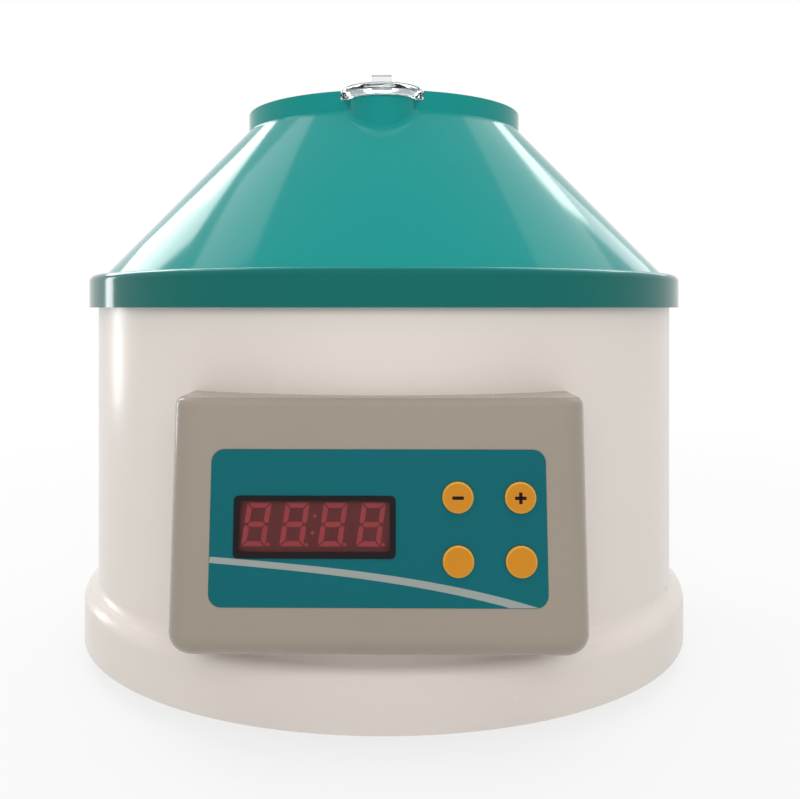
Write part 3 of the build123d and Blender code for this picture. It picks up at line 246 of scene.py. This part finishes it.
KEY_YELLOW = linear(202, 132, 30)
# Painted highlight: the paler yellow on each key's edge stands in for the light its rounded rim catches
KEY_HIGHLIGHT_YELLOW = linear(222, 164, 66)
# Cosines of the angle to the panel's direction between which the face turns into the edge
KEY_FACE_END = 0.97
KEY_EDGE_START = 0.75


def key_plastic():
    """Yellow plastic, with a painted highlight: paler where the key's edge turns away from its flat face"""
    material = moulded("key_plastic", KEY_YELLOW, 0.32, spread=0.05, strength=0.05, gloss=0.2)
    nodes, links = material.node_tree.nodes, material.node_tree.links
    shader = nodes["Principled BSDF"]
    mottled = shader.inputs["Base Color"].links[0].from_socket
    surface = nodes.new("ShaderNodeNewGeometry")
    facing = nodes.new("ShaderNodeVectorMath")
    facing.operation = "DOT_PRODUCT"
    facing.inputs[1].default_value = OUT_PANEL
    edge = nodes.new("ShaderNodeMapRange")
    edge.inputs["From Min"].default_value = KEY_FACE_END
    edge.inputs["From Max"].default_value = KEY_EDGE_START
    mix = nodes.new("ShaderNodeMix")
    mix.data_type = "RGBA"
    mix.inputs["B"].default_value = KEY_HIGHLIGHT_YELLOW
    links.new(surface.outputs["Normal"], facing.inputs[0])
    links.new(facing.outputs["Value"], edge.inputs["Value"])
    links.new(edge.outputs["Result"], mix.inputs["Factor"])
    links.new(mottled, mix.inputs["A"])
    links.new(mix.outputs["Result"], shader.inputs["Base Color"])
    return material


CLEAR_TINT = (0.87, 0.9, 0.9, 1)
# Painted shade: the edge tints darken the clear lid and the filter where they are seen edge on, in place of
# their dark outlines
CLEAR_EDGE_SHADE = (0.32, 0.36, 0.38, 1)
FILTER_TINT = linear(240, 205, 205)
FILTER_EDGE_SHADE = linear(200, 150, 150)

materials = {
    "body_plastic": moulded("cream_plastic", CREAM, 0.24, spread=0.012, grain=700, strength=0.04, gloss=0.3),
    "housing_plastic": moulded(
        "grey_plastic", linear(153, 143, 130), 0.2, spread=0.03, grain=500, strength=0.02, gloss=0.4
    ),
    "cover_plastic": cover_plastic(),
    "clear_plastic": clear("clear_plastic", CLEAR_TINT, CLEAR_EDGE_SHADE, 0.03),
    "label_film": moulded(
        "label_film", linear(12, 98, 106), 0.36, spread=0.1, grain=1500, strength=0.05, gloss=0.12
    ),
    "window_plastic": clear("window_filter", FILTER_TINT, FILTER_EDGE_SHADE, 0.05, ior=1.2),
    "display_face": moulded("display_face", linear(88, 36, 38), 0.5),
    "display_segment": moulded("display_segment", linear(158, 72, 80), 0.4),
    "key_plastic": key_plastic(),
    "black_plastic": moulded("black_plastic", linear(28, 28, 29), 0.4, spread=0.1, grain=1200, strength=0.15),
    "board": moulded("board_green", linear(25, 92, 55), 0.45),
    "rubber": moulded("black_rubber", linear(34, 34, 34), 0.75, spread=0.12, grain=1500, strength=0.3),
    "plate_steel": moulded(
        "painted_steel", linear(212, 209, 201), 0.45, spread=0.03, grain=1400, strength=0.2
    ),
    "steel": metal("bright_steel", linear(196, 197, 199), 0.25),
    "bowl_steel": metal("spun_steel", linear(204, 205, 207), 0.22, stretch=(1, 1, 8), grain=220),
    "rotor_aluminium": metal("rotor_aluminium", linear(198, 199, 202), 0.34, grain=900),
    "sleeve_plastic": moulded("natural_plastic", linear(232, 231, 226), 0.4),
    "motor_steel": moulded("motor_paint", linear(40, 41, 43), 0.4, spread=0.08),
    "ferrite": moulded("ferrite", linear(60, 60, 61), 0.6),
    "winding": metal("winding", linear(184, 110, 62), 0.35),
    "brass": metal("brass", linear(205, 174, 112), 0.28),
}

for subpart in frame["record"]["subparts"]:
    node = frame["nodes"][subpart["node"]]
    node.data.materials.clear()
    node.data.materials.append(materials[subpart["material_slot"]])


# Light, floor and background


def add_softbox(name, azimuth, elevation, distance, size, brightness, aim=0.12, glossy=True):
    """A lit panel that faces the object. Azimuth 0 is in front of it and -90 on its left"""
    width, height = size
    turn, rise = radians(azimuth), radians(elevation)
    away = Vector((sin(turn) * cos(rise), -cos(turn) * cos(rise), sin(rise)))
    data = bpy.data.lights.new(name, "AREA")
    data.shape = "RECTANGLE"
    data.size, data.size_y = width, height
    data.energy = brightness * pi * width * height
    lamp = bpy.data.objects.new(name, data)
    lamp.location = Vector((0, 0, aim)) + away * distance
    lamp.rotation_euler = (-away).to_track_quat("-Z", "Y").to_euler()
    lamp.visible_camera = False
    lamp.visible_glossy = glossy
    bpy.context.scene.collection.objects.link(lamp)


# Name, azimuth, elevation, distance, size and brightness
add_softbox("window_left", -136.5, 31, 1.4, (0.44, 0.55), 5)
add_softbox("strip_left", -116, 0, 1.1, (0.13, 0.37), 7, aim=0.2)
add_softbox("glow_left", -119, 54, 1.5, (0.42, 0.4), 1.8)
add_softbox("glow_right", 126, 46, 1.5, (0.7, 0.6), 1)
add_softbox("panel_right", 142, 29, 1.4, (0.24, 0.6), 1.5)
add_softbox("back_strip", 180, 42, 1.5, (2, 0.25), 3)
add_softbox("ceiling", 0, 82, 1.5, (1.6, 1.4), 1.2, glossy=False)
add_softbox("front_fill", 3, 24, 1.9, (1.8, 0.9), 2.6, glossy=False)


def background_share(nodes, links):
    """1 where the camera, a reflection or a clear piece sees the surface, else 0"""
    path = nodes.new("ShaderNodeLightPath")
    first = nodes.new("ShaderNodeMath")
    first.operation = "MAXIMUM"
    both = nodes.new("ShaderNodeMath")
    both.operation = "MAXIMUM"
    links.new(path.outputs["Is Camera Ray"], first.inputs[0])
    links.new(path.outputs["Is Glossy Ray"], first.inputs[1])
    links.new(first.outputs[0], both.inputs[0])
    links.new(path.outputs["Is Transmission Ray"], both.inputs[1])
    return both.outputs[0]


ROOM_COLOUR = (1, 0.99, 0.98, 1)
ROOM_STRENGTH = 0.5
FLOOR_REACH = 30
FLOOR_COLOUR = (0.72, 0.72, 0.72, 1)
FLOOR_ROUGHNESS = 0.9
FLOOR_FADE_START = 0.3
FLOOR_FADE_END = 0.9
FLOOR_GLOW = 0.8


def set_world():
    world = bpy.data.worlds.new("studio")
    bpy.context.scene.world = world
    world.use_nodes = True
    nodes, links = world.node_tree.nodes, world.node_tree.links
    output = nodes["World Output"]
    room = nodes["Background"]
    room.inputs["Color"].default_value = ROOM_COLOUR
    room.inputs["Strength"].default_value = ROOM_STRENGTH
    white = nodes.new("ShaderNodeBackground")
    white.inputs["Color"].default_value = (1, 1, 1, 1)
    white.inputs["Strength"].default_value = 1
    mix = nodes.new("ShaderNodeMixShader")
    links.new(background_share(nodes, links), mix.inputs[0])
    links.new(room.outputs[0], mix.inputs[1])
    links.new(white.outputs[0], mix.inputs[2])
    links.new(mix.outputs[0], output.inputs["Surface"])


def add_floor():
    """A pale floor that keeps the object's shadow and turns into the white background further out"""
    mesh = bpy.data.meshes.new("floor")
    corners = [(x * FLOOR_REACH, y * FLOOR_REACH, 0) for x, y in ((-1, -1), (1, -1), (1, 1), (-1, 1))]
    mesh.from_pydata(corners, [], [(0, 1, 2, 3)])
    floor = bpy.data.objects.new("floor", mesh)
    bpy.context.scene.collection.objects.link(floor)
    material, nodes, links, shader = new_material("floor")
    shader.inputs["Base Color"].default_value = FLOOR_COLOUR
    shader.inputs["Roughness"].default_value = FLOOR_ROUGHNESS
    shader.inputs["Specular IOR Level"].default_value = 0
    place = nodes.new("ShaderNodeTexCoord")
    distance = nodes.new("ShaderNodeVectorMath")
    distance.operation = "LENGTH"
    fade = nodes.new("ShaderNodeMapRange")
    fade.interpolation_type = "SMOOTHSTEP"
    fade.inputs["From Min"].default_value = FLOOR_FADE_START
    fade.inputs["From Max"].default_value = FLOOR_FADE_END
    fade.inputs["To Min"].default_value = FLOOR_GLOW
    seen = nodes.new("ShaderNodeMath")
    seen.operation = "MULTIPLY"
    white = nodes.new("ShaderNodeEmission")
    mix = nodes.new("ShaderNodeMixShader")
    links.new(place.outputs["Object"], distance.inputs[0])
    links.new(distance.outputs["Value"], fade.inputs["Value"])
    links.new(fade.outputs["Result"], seen.inputs[0])
    links.new(background_share(nodes, links), seen.inputs[1])
    links.new(seen.outputs[0], mix.inputs[0])
    links.new(shader.outputs[0], mix.inputs[1])
    links.new(white.outputs[0], mix.inputs[2])
    links.new(mix.outputs[0], nodes["Material Output"].inputs["Surface"])
    mesh.materials.append(material)


set_world()
add_floor()
bpy.context.scene.view_settings.view_transform = "Standard"


# Pieces made here: printed marks and small trim

label_low, label_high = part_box("control_label")
LABEL_CENTRE = (label_low + label_high) / 2
LABEL_HALF_THICKNESS = 0.25 * MM


def on_panel(x, y, out=0.0):
    """A point on the label's face, in millimetres across, up and out from its middle"""
    face = LABEL_CENTRE + OUT_PANEL * LABEL_HALF_THICKNESS
    return face + ACROSS * (x * MM) + UP_PANEL * (y * MM) + OUT_PANEL * (out * MM)


def add_piece(name, mesh, material, body):
    """Shows a mesh as a piece that moves with a body"""
    piece = bpy.data.objects.new(name, mesh)
    bpy.context.scene.collection.objects.link(piece)
    mesh.materials.append(material)
    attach(piece, body)
    return piece


def shade_smooth(mesh, sharp_angle):
    mesh.polygons.foreach_set("use_smooth", [True] * len(mesh.polygons))
    mesh.set_sharp_from_angle(angle=radians(sharp_angle))


def finish_piece(name, points, faces, material, body):
    """Makes a closed piece from points and faces"""
    mesh = bpy.data.meshes.new(name)
    mesh.from_pydata(points, [], faces)
    shape = bmesh.new()
    shape.from_mesh(mesh)
    bmesh.ops.recalc_face_normals(shape, faces=shape.faces)
    shape.to_mesh(mesh)
    shape.free()
    return add_piece(name, mesh, material, body)


def plate(name, outline, low, high, place, material, body):
    """A thin plate with the given outline between two levels over the surface that place gives"""
    count = len(outline)
    points = [place(x, y, level) for level in (low, high) for x, y in outline]
    sides = [(k, (k + 1) % count, (k + 1) % count + count, k + count) for k in range(count)]
    faces = [tuple(range(count)), tuple(range(count, 2 * count))] + sides
    finish_piece(name, points, faces, material, body)


def rounded_rectangle(width, height, corner, centre=(0, 0), steps=6):
    points = []
    for side_x, side_y, start in ((1, 1, 0), (-1, 1, 90), (-1, -1, 180), (1, -1, 270)):
        for step in range(steps + 1):
            turn = radians(start + 90 * step / steps)
            points.append((
                centre[0] + side_x * (width / 2 - corner) + corner * cos(turn),
                centre[1] + side_y * (height / 2 - corner) + corner * sin(turn),
            ))
    return points


def front_of(node):
    """How far out from the label's face a node reaches, in millimetres"""
    face = on_panel(0, 0)
    reach = max((vertex.co - face).dot(OUT_PANEL) for vertex in frame["nodes"][node].data.vertices)
    return reach / MM


def middle_of(node):
    """The place of a node's middle across and up the panel, in millimetres"""
    low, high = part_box(node)
    step = (low + high) / 2 - on_panel(0, 0)
    return step.dot(ACROSS) / MM, step.dot(UP_PANEL) / MM


def frame_plate(name, outer, inner, low, high, place, material, body):
    """A flat frame between two outlines that have equally many points"""
    count = len(outer)
    rows = [(outer, low), (outer, high), (inner, high), (inner, low)]
    points = [place(x, y, level) for outline, level in rows for x, y in outline]
    faces = []
    for row in range(len(rows)):
        here, there = row * count, (row + 1) % len(rows) * count
        for k in range(count):
            following = (k + 1) % count
            faces.append((here + k, here + following, there + following, there + k))
    finish_piece(name, points, faces, material, body)


def circle(radius, steps=32):
    return [(radius * cos(2 * pi * k / steps), radius * sin(2 * pi * k / steps)) for k in range(steps)]


# How far outside a piece the search for its surface starts
SEARCH_START = 0.05


def surface_of(node, middle, across, up):
    """Places points on a node's surface, seen from outside, in millimetres from a middle"""
    mesh = frame["nodes"][node].data
    tree = BVHTree.FromPolygons([v.co for v in mesh.vertices], [p.vertices for p in mesh.polygons])
    out = across.cross(up)

    def place(x, y, level):
        start = middle + across * (x * MM) + up * (y * MM) + out * SEARCH_START
        hit = tree.ray_cast(start, -out)[0]
        return hit + out * (level * MM)

    return place


# Printed stripe across the label: one soft curve, ending in the label's lower right corner

STRIPE_POINTS = [Vector((-55.4, -10.4)), Vector((-19.4, -13.2)), Vector((19, -16.6)), Vector((52, -26.6))]
STRIPE_WIDTHS = (2.0, 2.6)
LABEL_EDGE = -25.4
STRIPE_STEPS = 40


def stripe_outline():
    first, second, third, last = STRIPE_POINTS
    upper, lower = [], []
    for step in range(STRIPE_STEPS + 1):
        t = step / STRIPE_STEPS
        rest = 1 - t
        point = first * rest**3 + second * (3 * t * rest**2) + third * (3 * t**2 * rest) + last * t**3
        along = (second - first) * rest**2 + (third - second) * (2 * t * rest) + (last - third) * t**2
        side = Vector((-along.y, along.x)).normalized()
        half = (STRIPE_WIDTHS[0] * rest + STRIPE_WIDTHS[1] * t) / 2
        upper.append(point + side * half)
        lower.append(point - side * half)
    inside_upper = [point for point in upper if point.y > LABEL_EDGE]
    inside_lower = [point for point in lower if point.y > LABEL_EDGE]
    cut = [Vector((side[-1].x + 1, LABEL_EDGE)) for side in (inside_lower, inside_upper)]
    outline = inside_lower + cut + list(reversed(inside_upper))
    return [(point.x, point.y) for point in outline]


INK = 0.04


def ink(name, colour, rough, spread=0.03, gloss=0.15):
    return moulded(name, colour, rough, spread=spread, strength=0.05, gloss=gloss)


stripe_ink = ink("stripe_ink", linear(150, 158, 154), 0.4)
plate("label_stripe", stripe_outline(), 0, INK, on_panel, stripe_ink, "cabinet")

# Black frame printed round the display's window

FRAME_SIZE = (53.4, 20.2)
FRAME_CORNER = 1.4
FRAME_OPENING = (49.8, 16.4)
FRAME_OPENING_CORNER = 1.2
FRAME_OPENING_RISE = 0.2
FRAME_LEVELS = (-0.02, 0.1)
window_x, window_y = middle_of("display_window")
window_front = front_of("display_window")
frame_plate(
    "window_frame",
    rounded_rectangle(*FRAME_SIZE, FRAME_CORNER, (window_x, window_y)),
    rounded_rectangle(*FRAME_OPENING, FRAME_OPENING_CORNER, (window_x, window_y + FRAME_OPENING_RISE)),
    window_front + FRAME_LEVELS[0], window_front + FRAME_LEVELS[1], on_panel,
    ink("window_frame", linear(24, 18, 20), 0.3, spread=0.1), "cabinet",
)

# Signs on the two upper keys

ink_black = ink("sign_ink", linear(26, 12, 16), 0.5, spread=0.05)
SIGN_LENGTH = 3.8
SIGN_STROKE = 1.1
SIGN_CORNER = 0.2


def bar(name, node, width, height):
    centre_x, centre_y = middle_of(node)
    front = front_of(node)
    outline = rounded_rectangle(width, height, SIGN_CORNER, (centre_x, centre_y), 2)
    body = node.replace("key_", "") + "_key"
    plate(name, outline, front, front + INK, on_panel, ink_black, body)


bar("sign_minus", "key_minus", SIGN_LENGTH, SIGN_STROKE)
bar("sign_plus_level", "key_plus", SIGN_LENGTH, SIGN_STROKE)
bar("sign_plus_upright", "key_plus", SIGN_STROKE, SIGN_LENGTH)


# Marks for on and off, printed on the rocker's two halves

MARK_HEIGHT = 3.6
MARK_STROKE = 0.8
MARK_CORNER = 0.1
RING_MARK_STROKE = MARK_STROKE * 0.8
MARK_RISE = 4.4
ink_white = ink("mark_ink", linear(226, 226, 222), 0.5, gloss=0.2)
rocker_low, rocker_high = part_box("switch_rocker")
rocker_middle = (rocker_low + rocker_high) / 2
LEFTWARDS = Vector((-1, 0, 0))
UPWARDS = Vector((0, 0, 1))
upper_half = surface_of("switch_rocker", rocker_middle + UPWARDS * (MARK_RISE * MM), LEFTWARDS, UPWARDS)
lower_half = surface_of("switch_rocker", rocker_middle - UPWARDS * (MARK_RISE * MM), LEFTWARDS, UPWARDS)
bar_mark = rounded_rectangle(MARK_STROKE, MARK_HEIGHT, MARK_CORNER, steps=2)
ring_outer, ring_inner = circle(MARK_HEIGHT / 2), circle(MARK_HEIGHT / 2 - RING_MARK_STROKE)
plate("mark_on", bar_mark, -INK, INK, upper_half, ink_white, "rocker")
frame_plate("mark_off", ring_outer, ring_inner, -INK, INK, lower_half, ink_white, "rocker")


# Cross recesses of the screws under the base, as thin dark crosses on their heads: painted shade standing in
# for the shade inside the recesses

RECESS_REACH = 1.9
RECESS_STROKE = 0.8
# Seen from below, so that across and up give a direction that points down
UNDER_ACROSS = Vector((1, 0, 0))
UNDER_UP = Vector((0, -1, 0))
MERGE_DISTANCE = 0.001 * MM
# Painted shade: the dark steel colour stands in for the shade inside the cross recesses
recess_shade = metal("painted_recess_shade", linear(58, 58, 60), 0.45)


def cross_outline(reach, stroke):
    half = stroke / 2
    arm = [(reach, -half), (reach, half), (half, half)]
    turns = [(1, 0), (0, 1), (-1, 0), (0, -1)]
    return [(x * c - y * s, x * s + y * c) for c, s in turns for x, y in arm]


def screw_middles(node):
    """The middle of each separate screw in a node"""
    shape = bmesh.new()
    shape.from_mesh(frame["nodes"][node].data)
    bmesh.ops.remove_doubles(shape, verts=shape.verts, dist=MERGE_DISTANCE)
    unseen, middles = set(shape.verts), []
    while unseen:
        group, edge_of_group = set(), [next(iter(unseen))]
        while edge_of_group:
            vertex = edge_of_group.pop()
            if vertex not in group:
                group.add(vertex)
                edge_of_group += [edge.other_vert(vertex) for edge in vertex.link_edges]
        unseen -= group
        low = Vector([min(vertex.co[axis] for vertex in group) for axis in range(3)])
        high = Vector([max(vertex.co[axis] for vertex in group) for axis in range(3)])
        middles.append((low + high) / 2)
    shape.free()
    return sorted(middles, key=lambda middle: (round(middle.x, 4), round(middle.y, 4)))


for screw_node in ("base_screws", "foot_screws"):
    for number, middle in enumerate(screw_middles(screw_node), 1):
        head = surface_of(screw_node, middle, UNDER_ACROSS, UNDER_UP)
        cross = cross_outline(RECESS_REACH, RECESS_STROKE)
        plate(f"{screw_node}_recess_{number}", cross, -INK, INK, head, recess_shade, "cabinet")


# Rounded edge of the cover's ring, turned finely enough for a clean reflection

RING_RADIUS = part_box("cone_cover")[1].x
RING_ROUND = 3.0 * MM
RING_SKIN = 0.04 * MM
RING_STEPS = 360
ROUND_STEPS = 12
RING_SHARP_ANGLE = 50


def ring_profile():
    """Radius and height of the skin's section, out and round the edge and back inside the plastic"""
    centre = (RING_RADIUS - RING_ROUND, RING_TOP - RING_ROUND)
    turns = [radians(90 * step / ROUND_STEPS) for step in range(ROUND_STEPS + 1)]
    section = []
    for radius, along in ((RING_ROUND + RING_SKIN, turns), (RING_ROUND - RING_SKIN, turns[::-1])):
        section += [(centre[0] + radius * cos(turn), centre[1] + radius * sin(turn)) for turn in along]
    return section


def add_ring_edge():
    section = ring_profile()
    count = len(section)
    points, faces = [], []
    for step in range(RING_STEPS):
        turn = 2 * pi * step / RING_STEPS
        points += [(radius * cos(turn), radius * sin(turn), height) for radius, height in section]
        here, there = step * count, (step + 1) % RING_STEPS * count
        for k in range(count):
            following = (k + 1) % count
            faces.append((here + k, here + following, there + following, there + k))
    plastic = materials["cover_plastic"]
    edge = finish_piece("cover_ring_edge", points, faces, plastic, "cabinet")
    shade_smooth(edge.data, RING_SHARP_ANGLE)


add_ring_edge()

# Clear lid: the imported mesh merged, slightly rounded at its edges and shaded smooth

LID_ROUND = 0.14 * MM
LID_ROUND_STEPS = 3
LID_FLAT_ANGLE = 0.5
LID_EDGE_ANGLE = 40
LID_SHARP_ANGLE = 35


def add_rounded_lid():
    shape = bmesh.new()
    shape.from_mesh(frame["nodes"]["clear_lid"].data)
    bmesh.ops.remove_doubles(shape, verts=shape.verts, dist=MERGE_DISTANCE)
    bmesh.ops.dissolve_limit(shape, angle_limit=radians(LID_FLAT_ANGLE), verts=shape.verts, edges=shape.edges)
    inner = [edge for edge in shape.edges if len(edge.link_faces) == 2]
    sharp = [edge for edge in inner if edge.calc_face_angle() > radians(LID_EDGE_ANGLE)]
    bmesh.ops.bevel(
        shape, geom=sharp, offset=LID_ROUND, segments=LID_ROUND_STEPS, profile=0.5, affect="EDGES",
        clamp_overlap=True,
    )
    mesh = bpy.data.meshes.new("clear_lid_rounded")
    shape.to_mesh(mesh)
    shape.free()
    shade_smooth(mesh, LID_SHARP_ANGLE)
    lid = add_piece("clear_lid_rounded", mesh, materials["clear_plastic"], "lid")
    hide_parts("clear_lid")


add_rounded_lid()
